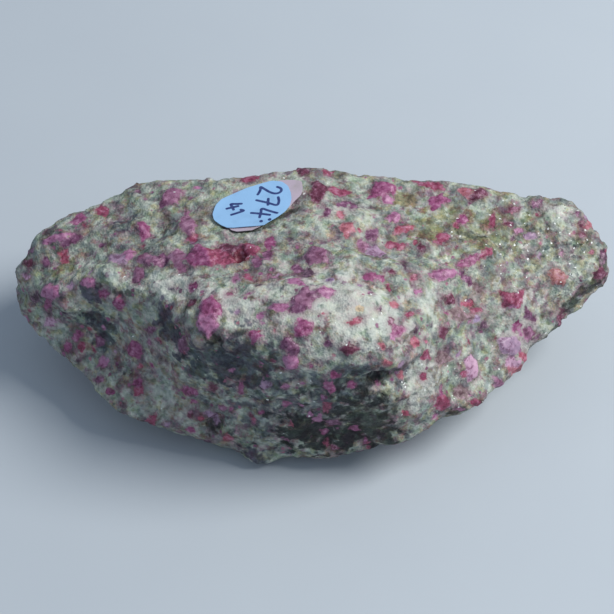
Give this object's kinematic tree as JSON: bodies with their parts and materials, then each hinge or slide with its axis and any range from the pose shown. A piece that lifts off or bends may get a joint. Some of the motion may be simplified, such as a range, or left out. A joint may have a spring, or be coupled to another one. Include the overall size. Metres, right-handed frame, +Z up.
{
  "type": "ruby in zoisite specimen",
  "caption": "Rough hand specimen of green-grey zoisite rock with ruby crystals grown into it, and small paper labels stuck on its top.",
  "frame": {"origin": "under the middle of the stone's footprint, on the surface that it rests on", "axes": "+X along the stone's length, to the right seen from the front; +Y from the front to the back; +Z up"},
  "size_m": [0.1308, 0.0632, 0.0458],
  "materials": {
    "rock": "broken green-grey rock with dull to glassy purple-red crystals",
    "old_paper": "matte, slightly soiled paper",
    "blue_paper": "matte paper with dark blue pen ink"
  },
  "bodies": {
    "root": {"stone": "rock", "backing_label": "old_paper", "number_label": "blue_paper"}
  },
  "joints": []
}
